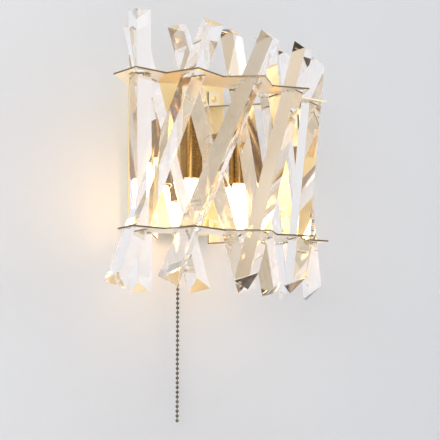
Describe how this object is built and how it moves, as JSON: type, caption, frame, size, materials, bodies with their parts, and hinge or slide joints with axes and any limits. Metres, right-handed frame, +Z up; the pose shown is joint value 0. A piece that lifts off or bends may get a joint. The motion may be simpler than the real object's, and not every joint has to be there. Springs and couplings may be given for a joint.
{
  "type": "wall light",
  "caption": "Crystal wall light: slanted three-sided glass prisms in two zigzag metal frames on a flat box, with capsule lamps and a bead pull chain.",
  "frame": {"origin": "centre of the wall strap's two fixing slots, on the wall's face", "axes": "+Z up, +X to the right along the wall as seen from the room, the light stands out towards -Y"},
  "size_m": [0.2493, 0.159, 0.3835],
  "materials": {
    "crystal": "polished clear",
    "satin_brass": "satin plated",
    "contact_brass": "plain",
    "zinc": "zinc plated",
    "spring_steel": "bright wire",
    "chain_metal": "dark antique",
    "white_plastic": "matte",
    "black_plastic": "matte",
    "ceramic": "glazed ceramic",
    "lamp_glass": "frosted"
  },
  "bodies": {
    "light": {"back_box": "satin_brass", "wall_bracket": "zinc", "box_screws": "satin_brass", "earth_screw": "contact_brass", "terminal_block": "white_plastic", "terminal_screws": "contact_brass", "block_screw": "zinc", "upper_frame": "satin_brass", "lower_frame": "satin_brass", "frame_screws": "satin_brass", "upper_retainers": "satin_brass", "lower_retainers": "satin_brass", "arm_nuts": "satin_brass", "holder_screws": "satin_brass", "switch_case": "black_plastic", "switch_cover": "black_plastic", "switch_terminals": "contact_brass", "switch_nut": "satin_brass", "crystal_left_end": "crystal", "crystal_outer_1": "crystal", "crystal_outer_2": "crystal", "crystal_outer_3": "crystal", "crystal_outer_4": "crystal", "crystal_inner_1": "crystal", "crystal_inner_2": "crystal", "crystal_inner_3": "crystal", "crystal_inner_4": "crystal", "crystal_right_end": "crystal", "lamp_arm_left": "satin_brass", "lamp_sleeve_left": "satin_brass", "lampholder_left": "ceramic", "lamp_left": "lamp_glass", "lamp_arm_right": "satin_brass", "lamp_sleeve_right": "satin_brass", "lampholder_right": "ceramic", "lamp_right": "lamp_glass"},
    "pull": {"switch_plunger": "white_plastic", "switch_spring": "spring_steel", "pull_chain": "chain_metal"},
    "rotor": {"switch_rotor": "white_plastic"}
  },
  "joints": [
    {"name": "chain_pull", "type": "slide", "parent": "light", "child": "pull", "axis": [0, 0, -1], "range_m": [0, 0.008], "stiffness_N_per_m": 250, "springref_m": -0.006, "deforming": ["switch_spring"]},
    {"name": "rotor_turn", "type": "hinge", "parent": "light", "child": "rotor", "pos_m": [0, -0.015, -0.0605], "axis": [0, 0, 1], "range_deg": [0, 45]}
  ],
  "couplings": [
    {"joint": "rotor_turn", "follows": "chain_pull", "rad_per_m": 98.1}
  ]
}
